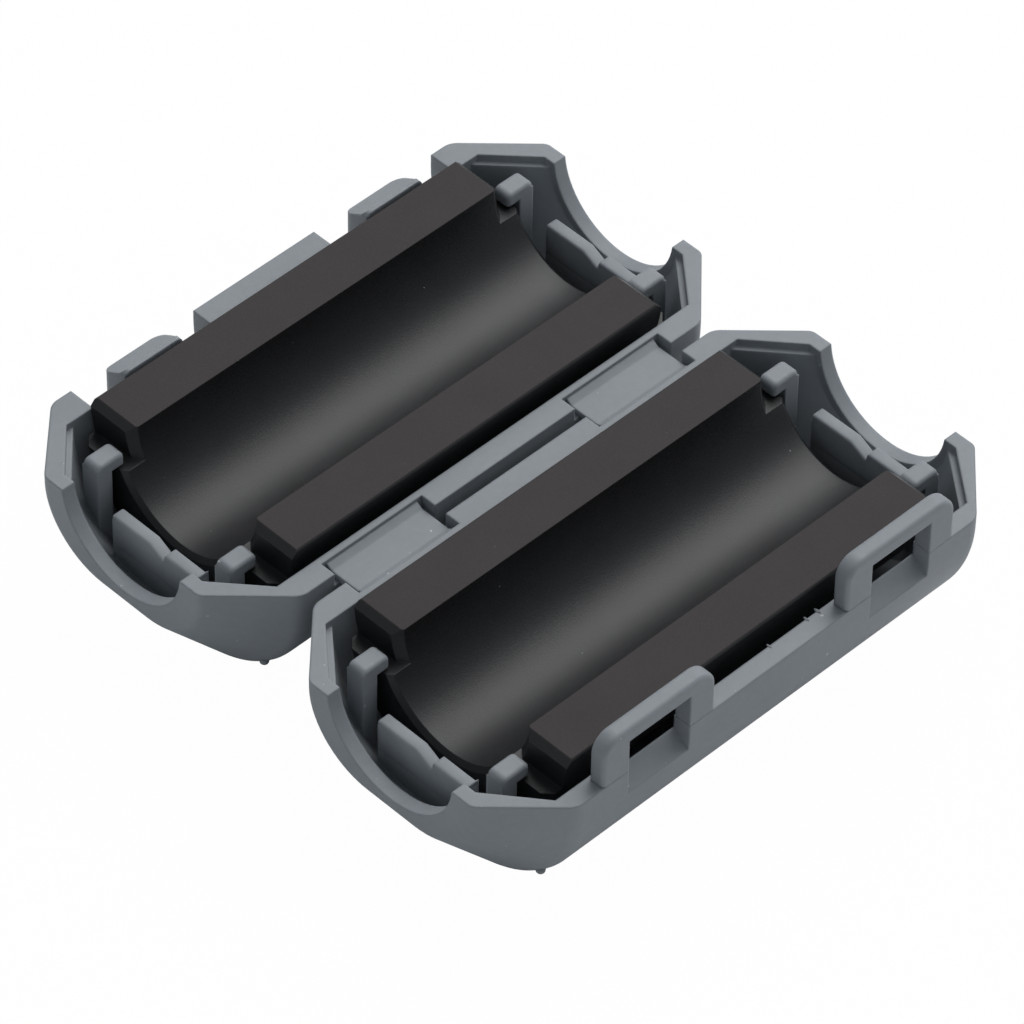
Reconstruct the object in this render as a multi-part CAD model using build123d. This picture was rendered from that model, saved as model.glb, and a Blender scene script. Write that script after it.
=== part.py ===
from build123d import *
import os

# Clip-on ferrite core, lying open on its back. Millimetres, +Z up, the hinge along Y.
# The origin is midway between the half shells, on the surface they lie on.

# Split ferrite sleeve: two half rings round a cable of up to 10 mm
bore_radius = 5.0
core_radius = 8.5
bar_length = 29.6
ring_overhang = 1.1
shelf_below_face = 2.3
bore_mouth = 0.55
ring_mouth = 0.3
ring_end_chamfer = 0.6
bar_end_chamfer = 0.45
bar_edge_chamfer = 0.12
core_proud = 1.0

# Walls of the half shell, and the play of the core in it
hinge_wall = 1.55
latch_wall = 1.25
floor_wall = 1.5
end_wall = 0.95
core_hinge_play = 0.55
core_catch_play = 0.2
core_floor_play = 1.3
core_end_play = 0.1

# Half shell: a straight middle that tapers to a small nose at each end
shell_gap = 0.9
shell_upright = 0.9
taper_length = 4.2
nose_side_wall = 1.5
nose_floor_wall = 0.75
nose_upright = 0.65
belly_rounding = 1.2
nose_rounding = 0.7
room_upright = 0.4
room_nose_side = 1.25
room_nose_floor = 0.65

# Ledge just below the rim, along the inside of each taper
ledge_width = 0.5
ledge_depth = 0.5

# Opening for the cable in each end wall
mouth_lift = 0.5
mouth_overrun = 0.2

# Hooks that reach over the shelves at the ends of the cores
hook_from_bore = 0.6
hook_width = 1.3
hook_reach = 0.5
hook_post_gap = 0.5
hook_post = 1.1
hook_head = 0.9
hook_clearance = 0.2
hook_rounding = 0.4
hook_side_rounding = 0.25

# Pairs of fingers that the cable lies on inside each end
finger_thickness = 0.85
finger_from_end = 2.3
finger_short_side = 3.35
finger_long_side = 3.9
finger_clearance = 0.05
notch_place = 1.0
notch_width = 1.25
notch_depth = 0.65

# Living hinge: two straps in pockets of the facing rims
strap_width = 7.1
strap_from_taper = 2.9
strap_thickness = 0.45
strap_below_rim = 0.5
strap_reach = 1.1
strap_relief = 0.38
strap_ramp = 0.5
strap_ramp_rise = 0.3

# Latch loops on the rim of the latch half
loop_width = 8.8
loop_from_taper = 1.95
loop_height = 3.4
loop_thickness = 1.15
loop_corner = 1.3
loop_rounding = 0.3
window_width = 4.8
window_height = 2.45
window_sill_inside = 1.0
window_sill_outside = 2.0

# Bays and lugs on the outer wall of the catch half
bay_clearance = 0.4
bay_recess_clearance = 0.15
bay_depth = 4.1
bay_top = 1.0
lug_side_clearance = 0.15
lug_proud = 0.2
lug_crest = 1.0
lug_crest_run = 0.35
lug_top = 0.6
lug_ramp_start = -0.3
lug_ledge = 2.25
lug_rounding = 0.7
lug_end_rounding = 0.45

# Places that follow from the sizes
shell_width = 2 * (core_radius + core_hinge_play + hinge_wall)
shell_depth = floor_wall + core_floor_play + core_radius - core_proud
catch_wall = shell_width / 2 - core_radius - core_catch_play
bar_end = bar_length / 2
ring_end = bar_end + ring_overhang
taper_start = ring_end + core_end_play
half_length = taper_start + taper_length
room_end = half_length - end_wall
nose_width = 2 * (bore_radius + nose_side_wall)
nose_depth = bore_radius - mouth_lift + nose_floor_wall
room_nose_width = nose_width - 2 * room_nose_side
rim_z = shell_depth
face_z = rim_z + core_proud
hinge_x = shell_gap / 2
shell_middle = hinge_x + shell_width / 2
outer_x = hinge_x + shell_width
recess_x = outer_x - loop_thickness - bay_recess_clearance
strap_centre = taper_start - strap_from_taper - strap_width / 2
loop_centre = taper_start - loop_from_taper - loop_width / 2
beyond = 2.0
nearly = 1e-3


def cross_section(width, depth, upright, middle, y, above):
    """Face across the case: upright sides, one round corner each side, a flat underside."""
    place = Plane(origin=(middle, y, rim_z), x_dir=(1, 0, 0), z_dir=(0, -1, 0))
    face = Pos(0, -depth) * Rectangle(width, depth + above, align=(Align.CENTER, Align.MIN))
    low_corners = face.vertices().sort_by(Axis.Y)[:2]
    return place * fillet(low_corners, depth - upright)


def boat(full, nose, end, above=0.0):
    """Solid of the full section between the tapers, with the nose section at both ends."""
    ys = (-end, -taper_start, taper_start, end)
    sections = [cross_section(*size, y, above) for y, size in zip(ys, (nose, full, full, nose))]
    return loft(sections, ruled=True)


def rounded_outside():
    """Outside of a half shell, with the bends between its faces rounded."""
    full = (shell_width, shell_depth, shell_upright, shell_middle)
    nose = (nose_width, nose_depth, nose_upright, shell_middle)
    body = boat(full, nose, half_length)
    for y, radius in ((taper_start, belly_rounding), (half_length, nose_rounding)):
        ring = [
            edge
            for edge in body.edges()
            if all(abs(abs(v.Y) - y) < nearly for v in edge.vertices())
            and edge.vertices()[0].Y * edge.vertices()[-1].Y > 0
            and min(v.Z for v in edge.vertices()) < rim_z - nearly
        ]
        body = fillet(ring, radius)
    return body


def cavity(outer_wall):
    """Room for the core inside a half shell, between its hinge wall and its outer wall."""
    low, high = hinge_x + hinge_wall, outer_x - outer_wall
    full = (high - low, shell_depth - floor_wall, room_upright, (low + high) / 2)
    nose = (room_nose_width, nose_depth - room_nose_floor, room_upright, shell_middle)
    return boat(full, nose, room_end, beyond)


def rim_ledge(outer_wall, side):
    """Shallow widening of the room along both slanting walls, just below the rim."""
    low, high = hinge_x + hinge_wall, outer_x - outer_wall
    nose_low, nose_high = shell_middle - room_nose_width / 2, shell_middle + room_nose_width / 2
    shift = ledge_width / (room_end - taper_start)
    outline = Polyline(
        (low, taper_start),
        (low, taper_start + ledge_width),
        (nose_low + (low - nose_low) * shift, room_end),
        (nose_high + (high - nose_high) * shift, room_end),
        (high, taper_start + ledge_width),
        (high, taper_start),
        close=True,
    )
    ledge = extrude(Pos(0, 0, rim_z - ledge_depth) * make_face(outline), ledge_depth + beyond)
    return ledge if side > 0 else mirror(ledge, about=Plane.XZ)


def cable_mouth(side):
    """Round notch through the end wall."""
    length = 2 * (end_wall + mouth_overrun)
    place = Pos(shell_middle, side * half_length, rim_z + mouth_lift)
    return place * Rot(90, 0, 0) * Cylinder(bore_radius, length)


def retaining_hook(side, hand):
    """Post with a rounded head that reaches over the shelf at the end of the core."""
    tip = ring_end - hook_reach
    length = hook_reach + hook_post_gap + hook_post
    low = face_z - shelf_below_face + hook_clearance
    head = Box(hook_width, length, hook_head, align=(Align.CENTER, Align.MIN, Align.MIN))
    head = fillet(head.edges().filter_by(Axis.X).group_by(Axis.Z)[-1], hook_rounding)
    head = fillet(head.edges().filter_by(Axis.Y).group_by(Axis.Z)[-1], hook_side_rounding)
    post = Box(hook_width, hook_post, shell_depth, align=(Align.CENTER, Align.MAX, Align.MAX))
    post = Pos(0, length, hook_head / 2) * post
    hook = Pos(0, tip, low) * (head + post)
    if side < 0:
        hook = mirror(hook, about=Plane.XZ)
    return Pos(shell_middle + hand * (bore_radius + hook_from_bore), 0, 0) * hook


def cable_fingers(side, hand):
    """Two upright fingers side by side, hollowed to the cable, with a slanted notch between."""
    y = half_length - finger_from_end - finger_thickness / 2
    hollow_radius = bore_radius + finger_clearance
    hollow_floor = face_z - hollow_radius
    outline = Polyline(
        (-finger_short_side, 0),
        (-finger_short_side, rim_z),
        (notch_place - notch_width, rim_z),
        (notch_place - notch_width, hollow_floor),
        (notch_place, hollow_floor - notch_depth),
        (notch_place, rim_z),
        (finger_long_side, rim_z),
        (finger_long_side, 0),
        close=True,
    )
    fingers = extrude(Plane.XZ * make_face(outline), finger_thickness / 2, both=True)
    fingers -= Pos(0, 0, face_z) * Rot(90, 0, 0) * Cylinder(hollow_radius, finger_thickness)
    if hand < 0:
        fingers = mirror(fingers, about=Plane.YZ)
    return Pos(shell_middle, side * y, 0) * fingers


def strap_pocket(side):
    """Pocket in the hinge rim for one strap, with a relief slot along each of its edges."""
    depth = strap_below_rim + strap_thickness
    pocket = Box(
        strap_reach + beyond,
        strap_width + 2 * strap_relief,
        depth + beyond,
        align=(Align.MAX, Align.CENTER, Align.MIN),
    )
    return Pos(hinge_x + strap_reach, side * strap_centre, rim_z - depth) * pocket


def half_shell(outer_wall, notch_hand):
    """One half of the case without its latch: walls, hooks, fingers, mouths and strap pockets."""
    room = cavity(outer_wall)
    for side in (-1, 1):
        room += rim_ledge(outer_wall, side)
    for side in (-1, 1):
        for hand in (-1, 1):
            room -= retaining_hook(side, hand)
        room -= cable_fingers(side, notch_hand)
    shell = rounded_outside() - room
    for side in (-1, 1):
        shell -= cable_mouth(side)
        shell -= strap_pocket(side)
    return shell


def window_sill(side):
    """Notch in the outer wall under a loop's window, sloping down to the outside."""
    inner_x = outer_x - latch_wall
    slope = (window_sill_outside - window_sill_inside) / latch_wall
    outline = Polyline(
        (inner_x - beyond, beyond),
        (inner_x - beyond, -window_sill_inside),
        (inner_x, -window_sill_inside),
        (outer_x + beyond, -window_sill_outside - slope * beyond),
        (outer_x + beyond, beyond),
        close=True,
    )
    notch = extrude(Plane.XZ * make_face(outline), window_width / 2, both=True)
    return Pos(0, side * loop_centre, rim_z) * notch


def latch_loop(side):
    """Flat loop with round corners and edges that stands on the rim of the latch half."""
    plate = Box(
        loop_thickness, loop_width, loop_height, align=(Align.MAX, Align.CENTER, Align.MIN)
    )
    plate = fillet(plate.edges().filter_by(Axis.X).group_by(Axis.Z)[-1], loop_corner)
    outline = [
        edge
        for edge in plate.edges()
        if edge.center().Z > nearly and abs(edge.tangent_at(0.5).X) < nearly
    ]
    plate = fillet(outline, loop_rounding)
    window = Box(
        loop_thickness + beyond,
        window_width,
        window_height,
        align=(Align.CENTER, Align.CENTER, Align.MIN),
    )
    window = Pos(-loop_thickness / 2, 0, 0) * window
    return Pos(outer_x, side * loop_centre, rim_z) * (plate - window)


def bay(side):
    """Recess in the outer wall that a closed loop lies in, and the lowered wall behind it."""
    width = loop_width + 2 * bay_clearance
    recess = Box(
        shell_width, width, bay_depth + beyond, align=(Align.MIN, Align.CENTER, Align.MIN)
    )
    lowered = Box(
        catch_wall + beyond, width, bay_top + beyond, align=(Align.MAX, Align.CENTER, Align.MIN)
    )
    cut = Pos(recess_x, 0, -bay_depth) * recess + Pos(recess_x, 0, -bay_top) * lowered
    return Pos(0, side * loop_centre, rim_z) * cut


def catch_lug(side):
    """Lug that a loop's bar snaps under: crest inside, ramp outside, flat ledge below."""
    inside, outside = outer_x - catch_wall, outer_x + lug_proud
    outline = Polyline(
        (inside, -lug_ledge),
        (inside, lug_crest),
        (recess_x - lug_crest_run, lug_crest),
        (recess_x, lug_top),
        (outside, lug_ramp_start),
        (outside, -lug_ledge),
        close=True,
    )
    width = window_width - 2 * lug_side_clearance
    lug = extrude(Plane.XZ * make_face(outline), width / 2, both=True)
    lug = fillet(lug.edges().filter_by(Axis.Z).group_by(Axis.X)[-1], lug_rounding)
    lug = fillet(lug.edges().filter_by(Axis.X).group_by(Axis.Z)[-1], lug_end_rounding)
    return Pos(0, side * loop_centre, rim_z) * lug


def latch_case():
    shell = half_shell(latch_wall, 1)
    for side in (-1, 1):
        shell -= window_sill(side)
    return shell


def catch_case():
    shell = half_shell(catch_wall, -1)
    for side in (-1, 1):
        shell -= bay(side)
    for side in (-1, 1):
        shell += catch_lug(side)
    return mirror(shell, about=Plane.YZ)


def hinge_strap(side):
    """Thin strap from pocket to pocket, thickened by a ramp at each root."""
    top, reach = -strap_below_rim, hinge_x + strap_reach
    outline = Polyline(
        (-reach, top - strap_thickness),
        (-reach, top + strap_ramp_rise),
        (strap_ramp - reach, top),
        (reach - strap_ramp, top),
        (reach, top + strap_ramp_rise),
        (reach, top - strap_thickness),
        close=True,
    )
    strap = extrude(Plane.XZ * make_face(outline), strap_width / 2, both=True)
    return Pos(0, side * strap_centre, rim_z) * strap


def half_ring():
    """Half ring below the mating plane, chamfered outside and inside at both ends."""
    profile = Polyline(
        (bore_radius, ring_mouth - ring_end),
        (bore_radius + ring_mouth, -ring_end),
        (core_radius - ring_end_chamfer, -ring_end),
        (core_radius, ring_end_chamfer - ring_end),
        (core_radius, ring_end - ring_end_chamfer),
        (core_radius - ring_end_chamfer, ring_end),
        (bore_radius + ring_mouth, ring_end),
        (bore_radius, ring_end - ring_mouth),
        close=True,
    )
    return revolve(make_face(profile), Axis.Y, 180)


def end_step():
    """Room over the shelf at one end of the ring, with the bore's mouth in the bars."""
    profile = Polyline(
        (bore_radius - beyond, bar_end - bore_mouth - beyond),
        (bore_radius + bore_mouth, bar_end),
        (core_radius + beyond, bar_end),
        (core_radius + beyond, ring_end + beyond),
        (bore_radius - beyond, ring_end + beyond),
        close=True,
    )
    layer = Box(
        2 * (core_radius + beyond),
        2 * (ring_end + beyond),
        shelf_below_face,
        align=(Align.CENTER, Align.CENTER, Align.MAX),
    )
    return revolve(make_face(profile), Axis.Y, 180) & layer


def ferrite_core(hand):
    """Half ring whose two bars, with the mating faces, end short of its back."""
    step = end_step()
    core = half_ring() - step - mirror(step, about=Plane.XZ)
    long_edges = [
        edge
        for edge in core.edges().filter_by(Axis.Y)
        if abs(edge.center().X) > core_radius - nearly
    ]
    core = chamfer(long_edges, bar_edge_chamfer)
    face_ends = [
        edge
        for edge in core.edges().filter_by(Axis.X)
        if abs(edge.center().Z) < nearly and abs(edge.center().Y) > bar_end - nearly
    ]
    return Pos(hand * shell_middle, 0, face_z) * chamfer(face_ends, bar_end_chamfer)


nodes = {
    "latch_case": latch_case(),
    "catch_case": catch_case(),
    "latch_loop_front": latch_loop(-1),
    "latch_loop_rear": latch_loop(1),
    "hinge_strap_front": hinge_strap(-1),
    "hinge_strap_rear": hinge_strap(1),
    "ferrite_core_latch_side": ferrite_core(1),
    "ferrite_core_catch_side": ferrite_core(-1),
}

os.makedirs("parts", exist_ok=True)
for name, piece in nodes.items():
    export_step(piece, f"parts/{name}.step")
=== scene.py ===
from math import radians

import bmesh
import bpy
from mathutils import Euler, Matrix, Vector


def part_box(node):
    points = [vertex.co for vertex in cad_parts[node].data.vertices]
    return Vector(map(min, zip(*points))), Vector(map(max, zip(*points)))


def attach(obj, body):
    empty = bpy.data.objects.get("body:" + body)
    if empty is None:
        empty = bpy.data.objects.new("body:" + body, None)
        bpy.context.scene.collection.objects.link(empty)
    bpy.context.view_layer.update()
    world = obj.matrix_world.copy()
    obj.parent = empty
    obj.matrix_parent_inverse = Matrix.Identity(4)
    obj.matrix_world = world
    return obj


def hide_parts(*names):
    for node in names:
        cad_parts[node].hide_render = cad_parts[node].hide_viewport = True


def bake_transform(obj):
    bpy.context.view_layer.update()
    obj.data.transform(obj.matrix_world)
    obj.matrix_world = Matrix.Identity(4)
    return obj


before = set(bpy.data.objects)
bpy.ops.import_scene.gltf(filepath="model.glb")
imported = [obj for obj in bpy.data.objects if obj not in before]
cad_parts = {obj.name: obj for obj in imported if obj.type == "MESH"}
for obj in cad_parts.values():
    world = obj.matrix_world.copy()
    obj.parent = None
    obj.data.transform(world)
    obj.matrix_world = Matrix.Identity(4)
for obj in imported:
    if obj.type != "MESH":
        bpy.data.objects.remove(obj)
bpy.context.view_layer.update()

mm = 0.001


# The two half shells are one moulding in satin grey nylon. Their grain comes from the mould's
# spark-eroded cavities, and their thin edges let a little light through.

class Wire:
    """An output socket of a material's nodes. Arithmetic on it adds Math nodes."""

    def __init__(self, tree, socket=None):
        self.tree = tree
        self.socket = socket

    def node(self, kind, settings, sockets, output=0):
        made = self.tree.nodes.new(kind)
        for name, value in settings.items():
            setattr(made, name, value)
        for name, value in sockets.items():
            if isinstance(value, Wire):
                self.tree.links.new(value.socket, made.inputs[name])
            else:
                made.inputs[name].default_value = value
        return Wire(self.tree, made.outputs[output])

    def math(self, operation, *values):
        return self.node("ShaderNodeMath", {"operation": operation}, dict(enumerate(values)))

    def __add__(self, other):
        return self.math("ADD", self, other)

    def __mul__(self, other):
        return self.math("MULTIPLY", self, other)

    __radd__ = __add__
    __rmul__ = __mul__

    def blur_step(self, low, high):
        """0 below low, 1 above high."""
        return self.node(
            "ShaderNodeMapRange",
            {"interpolation_type": "SMOOTHSTEP"},
            {"Value": self, "From Min": low, "From Max": high},
        )

    def mix(self, first, second):
        """Colour between first and second, by this wire."""
        return self.node(
            "ShaderNodeMix", {"data_type": "RGBA"}, {0: self, 6: first, 7: second}, 2
        )


def new_material(name):
    material = bpy.data.materials.new(name)
    material.use_nodes = True
    material.node_tree.nodes.clear()
    return material, Wire(material.node_tree)


def finish_material(material, shader):
    output = material.node_tree.nodes.new("ShaderNodeOutputMaterial")
    material.node_tree.links.new(shader.socket, output.inputs["Surface"])


def noise(wire, place, size, detail=2.0, roughness=0.5):
    """Cloudy value from 0 to 1 with features of about the given size."""
    return wire.node(
        "ShaderNodeTexNoise",
        {},
        {"Vector": place, "Scale": 1 / size, "Detail": detail, "Roughness": roughness},
    )


def case_plastic():
    material, wire = new_material("case_plastic")
    place = wire.node("ShaderNodeTexCoord", {}, {}, "Object")
    cloud = noise(wire, place, 9 * mm, 3.0)
    grain = noise(wire, place, 0.11 * mm, 2.0)
    soft_grain = noise(wire, place, 0.5 * mm, 2.0)
    speck = noise(wire, place, 0.35 * mm, 0.0).blur_step(0.87, 0.90)
    colour = (cloud * 0.7 + soft_grain * 0.3).blur_step(0.3, 0.7).mix(
        (0.226, 0.246, 0.266, 1), (0.256, 0.276, 0.296, 1)
    )
    roughness = 0.42 + grain * 0.14 + cloud * 0.06
    bevel = wire.node("ShaderNodeBevel", {"samples": 6}, {"Radius": 0.2 * mm})
    bump = wire.node(
        "ShaderNodeBump",
        {},
        {
            "Strength": 0.25,
            "Distance": 0.03 * mm,
            "Height": grain * 0.7 + soft_grain * 0.3,
            "Normal": bevel,
        },
    )
    shader = wire.node(
        "ShaderNodeBsdfPrincipled",
        {},
        {
            "Base Color": speck.mix(colour, (0.5, 0.51, 0.52, 1)),
            "Roughness": roughness,
            "Normal": bump,
            "IOR": 1.5,
            "Specular IOR Level": 0.4,
            "Subsurface Weight": 0.2,
            "Subsurface Radius": (0.8, 0.9, 1.0),
            "Subsurface Scale": 0.5 * mm,
        },
    )
    finish_material(material, shader)
    return material


def wear(node, material):
    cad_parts[node].data.materials.clear()
    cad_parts[node].data.materials.append(material)


plastic = case_plastic()
wear("latch_case", plastic)


# The catch half shell is part of the same moulding, in the same nylon. Its two lugs stand in bays
# of the outer wall, where the loops of the other half snap over them.

wear("catch_case", plastic)


# The living hinge is two thin straps of the same nylon, moulded with the halves and thickened by
# a ramp at each root. The real straps bend as the case closes; these are built flat and cut
# across.

hair = 0.001 * mm


def select_where(piece, wanted):
    """In edit mode, selects the piece's vertices for which wanted(place) holds."""
    data = bmesh.from_edit_mesh(piece.data)
    for vertex in data.verts:
        vertex.select_set(bool(wanted(vertex.co)))
    data.select_flush_mode()
    bmesh.update_edit_mesh(piece.data)


def block(name, low, high):
    """Closed box between two corners, with its object at the origin, left in edit mode."""
    bpy.ops.object.select_all(action="DESELECT")
    bpy.ops.mesh.primitive_cube_add(size=1)
    piece = bpy.context.object
    piece.name = name
    bpy.ops.object.mode_set(mode="EDIT")
    bpy.ops.mesh.select_all(action="SELECT")
    bpy.ops.transform.resize(value=high - low)
    bpy.ops.transform.translate(value=(low + high) / 2)
    return piece


def cut_across(places, normal):
    """Adds a ring of edges at each place to everything in the edited mesh."""
    for place in places:
        bpy.ops.mesh.select_all(action="SELECT")
        bpy.ops.mesh.bisect(plane_co=place, plane_no=normal, threshold=hair)


ramp_run, ramp_rise = 0.5 * mm, 0.3 * mm
strap_steps = 14
for side in ("front", "rear"):
    node = f"hinge_strap_{side}"
    low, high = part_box(node)
    top = high.z - ramp_rise
    strap = block(f"bent_strap_{side}", low, Vector((high.x, high.y, top)))
    ramp_foot = high.x - ramp_run
    cuts = [-ramp_foot + 2 * ramp_foot * i / strap_steps for i in range(strap_steps + 1)]
    cut_across([(x, 0, 0) for x in cuts], (1, 0, 0))
    select_where(strap, lambda p: p.z > top - 0.05 * mm and abs(p.x) > high.x - 0.01 * mm)
    bpy.ops.transform.translate(value=(0, 0, ramp_rise))
    bpy.ops.object.mode_set(mode="OBJECT")
    strap.data.materials.append(plastic)
    middle = (low.y + high.y) / 2
    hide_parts(node)
    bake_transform(strap)


# The latch loops are moulded on the rim of the latch half and spring outwards at their feet,
# where the real ones bend. Each is a copy of its CAD node, with rings of edges cut across its
# lowest part.

foot = 1.0 * mm
foot_steps = 5
for side in ("front", "rear"):
    node = f"latch_loop_{side}"
    low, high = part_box(node)
    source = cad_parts[node]
    mesh = source.data.copy()
    mesh.transform(source.matrix_world)
    loop = bpy.data.objects.new(f"sprung_loop_{side}", mesh)
    bpy.context.scene.collection.objects.link(loop)
    bpy.ops.object.select_all(action="DESELECT")
    loop.select_set(True)
    bpy.context.view_layer.objects.active = loop
    bpy.ops.object.mode_set(mode="EDIT")
    bpy.ops.mesh.select_all(action="SELECT")
    bpy.ops.mesh.remove_doubles(threshold=hair)
    heights = [low.z + foot * (i + 1) / foot_steps for i in range(foot_steps)]
    cut_across([(0, 0, z) for z in heights], (0, 0, 1))
    bpy.ops.object.mode_set(mode="OBJECT")
    mesh.materials.clear()
    mesh.materials.append(plastic)
    middle = (low.y + high.y) / 2
    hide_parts(node)
    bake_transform(loop)


# Tops of the cable fingers, of the same nylon and moulded on the floor inside each end. They end
# level, with a slanted notch between the two, and the real ones bend down under a cable. The CAD
# nodes have them hollowed to the cable instead.

face_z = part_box("ferrite_core_latch_side")[1].z
finger_y, finger_half_thickness = 17.475 * mm, 0.44 * mm
finger_short_side, finger_long_side = 3.36 * mm, 3.91 * mm
finger_foot, finger_level = face_z - 5.8 * mm, face_z - 3.45 * mm
notch_x, notch_width, notch_depth = 1.0 * mm, 1.25 * mm, 0.65 * mm
notch_wall = 0.12 * mm
for half in ("latch", "catch"):
    core_low, core_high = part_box(f"ferrite_core_{half}_side")
    middle = (core_low.x + core_high.x) / 2
    for side, place in ((-1, "front"), (1, "rear")):
        y = side * finger_y
        low = Vector((middle - finger_short_side, y - finger_half_thickness, finger_foot))
        high = Vector((middle + finger_long_side, y + finger_half_thickness, finger_level))
        fingers = block(f"finger_tops_{half}_half_{place}", low, high)
        step = middle + notch_x
        cuts = (step - notch_width, step, step + notch_wall)
        cut_across([(x, 0, 0) for x in cuts], (1, 0, 0))
        select_where(
            fingers,
            lambda p: p.z > finger_level - 0.01 * mm and abs(p.x - step) < 0.01 * mm,
        )
        bpy.ops.transform.translate(value=(0, 0, -notch_depth))
        bpy.ops.object.mode_set(mode="OBJECT")
        rounding = fingers.modifiers.new("rounding", "BEVEL")
        rounding.width = 0.13 * mm
        rounding.segments = 3
        rounding.use_clamp_overlap = True
        rounding.limit_method = "ANGLE"
        rounding.angle_limit = radians(70)
        bpy.ops.object.modifier_apply(modifier=rounding.name)
        bpy.ops.object.shade_smooth_by_angle(angle=radians(40))
        fingers.data.materials.append(plastic)
        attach(fingers, f"{half}_half")


# Small marks that the moulding leaves in the nylon: a gate nub near the front of each belly, and
# three wisps of flash on the inner edge of the latch half's rim, between its loops.

def lump_on(node, name, near, radii, body):
    """Small closed egg-shaped lump, set on the node's surface at the point nearest to a place."""
    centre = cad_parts[node].closest_point_on_mesh(Vector(near) * mm)[1]
    bpy.ops.object.select_all(action="DESELECT")
    bpy.ops.mesh.primitive_ico_sphere_add(subdivisions=2, radius=1)
    lump = bpy.context.object
    lump.name = name
    bpy.ops.object.mode_set(mode="EDIT")
    bpy.ops.mesh.select_all(action="SELECT")
    bpy.ops.transform.resize(value=Vector(radii) * mm)
    bpy.ops.transform.translate(value=centre)
    bpy.ops.object.mode_set(mode="OBJECT")
    bpy.ops.object.shade_smooth()
    lump.data.materials.append(plastic)
    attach(lump, body)


nub = (0.3, 0.3, 0.22)
lump_on("latch_case", "gate_nub_latch", (19.0, -16.1, 2.85), nub, "latch_half")
lump_on("catch_case", "gate_nub_catch", (-3.6, -16.1, 2.8), nub, "catch_half")
rim_edge_x, rim_edge_z = 20.4, 10.29
wisps = ((0.3, 0.22), (3.3, 0.24), (4.2, 0.28))
for number, (y, reach) in enumerate(wisps):
    wisp = (reach, reach * 0.4, 0.04)
    place = (rim_edge_x, y, rim_edge_z)
    lump_on("latch_case", f"flash_{number}", place, wisp, "latch_half")


# The ferrite half cores are pressed and sintered, then ground flat on their mating faces. The
# ground faces are matt and warm grey, the fired skin of the bore and ends is darker and smoother.

def ferrite():
    material, wire = new_material("ferrite")
    place = wire.node("ShaderNodeTexCoord", {}, {}, "Object")
    height = wire.node("ShaderNodeSeparateXYZ", {}, {0: place}, 2)
    ground = height.blur_step(face_z - 0.06 * mm, face_z - 0.02 * mm)
    grain = noise(wire, place, 0.09 * mm, 3.0, 0.7)
    blotch = noise(wire, place, 2.5 * mm, 3.0)
    fired = (grain * 0.6 + blotch * 0.4).blur_step(0.35, 0.65).mix(
        (0.0072, 0.0075, 0.0084, 1), (0.0120, 0.0125, 0.0138, 1)
    )
    cut = (grain * 0.8 + blotch * 0.2).blur_step(0.35, 0.65).mix(
        (0.0260, 0.0210, 0.0210, 1), (0.0365, 0.0310, 0.0305, 1)
    )
    dust = noise(wire, place, 0.3 * mm, 0.0).blur_step(0.90, 0.93)
    colour = dust.mix(ground.mix(fired, cut), (0.2, 0.2, 0.2, 1))
    roughness = 0.38 + ground * 0.34 + grain * 0.1
    bevel = wire.node("ShaderNodeBevel", {"samples": 6}, {"Radius": 0.08 * mm})
    bump = wire.node(
        "ShaderNodeBump",
        {},
        {"Strength": 0.5, "Distance": 0.03 * mm, "Height": grain, "Normal": bevel},
    )
    shader = wire.node(
        "ShaderNodeBsdfPrincipled",
        {},
        {"Base Color": colour, "Roughness": roughness, "Normal": bump,
         "IOR": 1.6, "Specular IOR Level": 0.36},
    )
    finish_material(material, shader)
    return material


sintered = ferrite()
wear("ferrite_core_latch_side", sintered)
wear("ferrite_core_catch_side", sintered)


# White paper to lie on, soft light from behind and above, and the camera where the photograph's
# was. The paper is white to the camera and keeps a trace of shadow.

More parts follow.
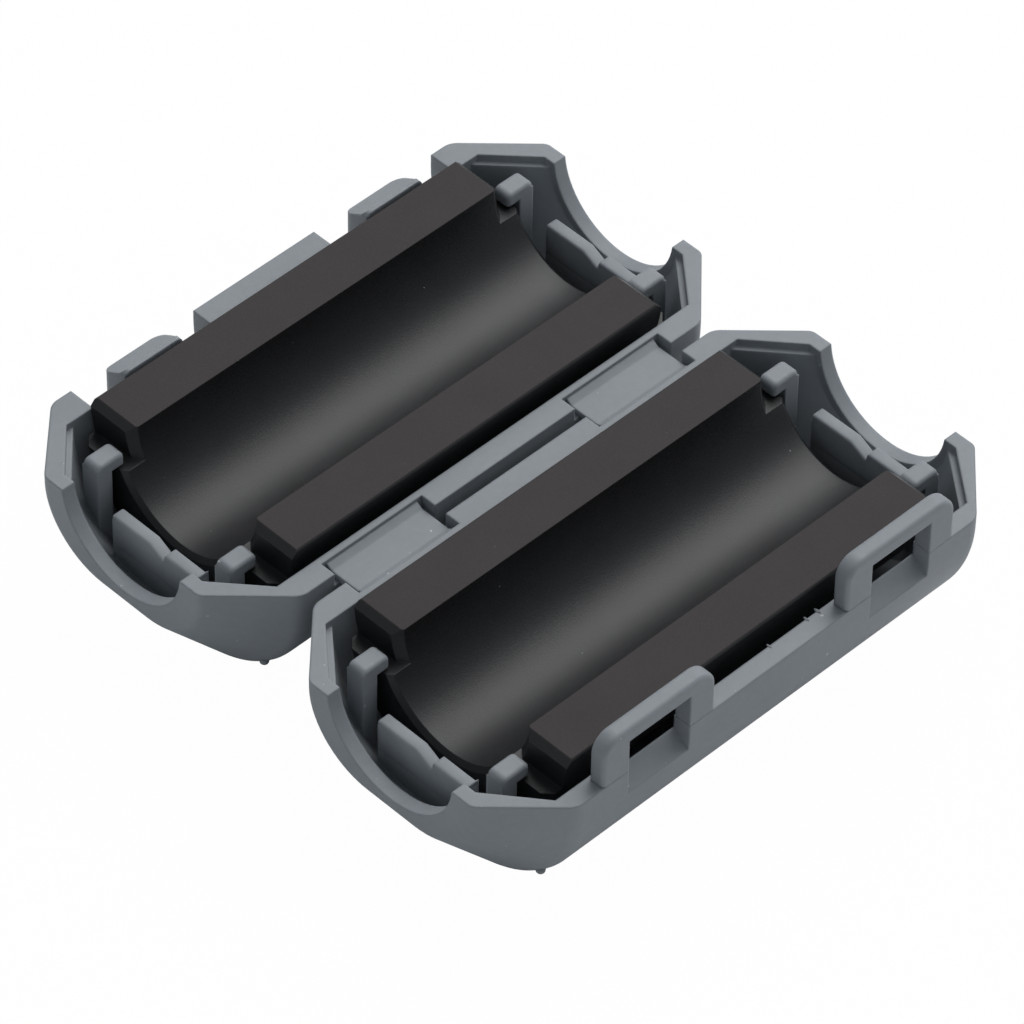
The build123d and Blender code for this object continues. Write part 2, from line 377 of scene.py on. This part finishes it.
def white_floor():
    material, wire = new_material("white_floor")
    seen = wire.node("ShaderNodeLightPath", {}, {}, "Is Camera Ray")
    paper = wire.node("ShaderNodeBsdfDiffuse", {}, {"Color": (0.85, 0.85, 0.85, 1)})
    white = wire.node("ShaderNodeEmission", {}, {"Color": (1, 1, 1, 1), "Strength": 1.0})
    whiteness = seen * 0.985
    shader = wire.node("ShaderNodeMixShader", {}, {0: whiteness, 1: paper, 2: white})
    finish_material(material, shader)
    return material


bpy.ops.object.select_all(action="DESELECT")
bpy.ops.mesh.primitive_plane_add(size=4.0, location=(0, 0, 0))
floor = bpy.context.object
floor.name = "floor"
floor.data.materials.append(white_floor())

world = bpy.data.worlds.new("studio")
bpy.context.scene.world = world
world.use_nodes = True
world.node_tree.nodes.clear()
sky = Wire(world.node_tree)
camera_ray = sky.node("ShaderNodeLightPath", {}, {}, "Is Camera Ray")
sky_colour = camera_ray.mix((0.93, 0.98, 1.03, 1), (1, 1, 1, 1))
sky_light = 0.34
background = sky.node(
    "ShaderNodeBackground",
    {},
    {"Color": sky_colour, "Strength": camera_ray * (1 - sky_light) + sky_light},
)
world_output = world.node_tree.nodes.new("ShaderNodeOutputWorld")
world.node_tree.links.new(background.socket, world_output.inputs["Surface"])


def softbox(name, azimuth, elevation, distance, size, power):
    """Square area lamp that faces the object from a direction."""
    turn = Euler((radians(90 - elevation), 0, radians(azimuth)), "XYZ").to_matrix()
    bpy.ops.object.light_add(type="AREA", location=turn @ Vector((0, 0, distance)),
                             rotation=turn.to_euler())
    lamp = bpy.context.object
    lamp.name = name
    lamp.data.size = size
    lamp.data.energy = power


softbox("back_softbox", 190, 52, 0.6, 0.5, 2.7)
softbox("low_softbox", 225, 40, 0.6, 0.35, 0.4)

photo_azimuth, photo_elevation, photo_roll = 45.0, 45.9, 0.94
camera_distance = 420.11 * mm
aim = Vector((0.055 * mm, -3.632 * mm, 0))
turn = Euler((radians(90 - photo_elevation), 0, radians(photo_azimuth)), "XYZ").to_matrix()
turn = turn @ Matrix.Rotation(radians(photo_roll), 3, "Z")
place = Vector((0, 0, face_z)) + turn @ (aim + Vector((0, 0, camera_distance)))
bpy.ops.object.camera_add(location=place, rotation=turn.to_euler())
camera = bpy.context.object
camera.data.lens = 257.8
camera.data.sensor_width = 36.0
camera.data.clip_start = 0.01
bpy.context.scene.camera = camera
bpy.context.scene.view_settings.view_transform = "Standard"
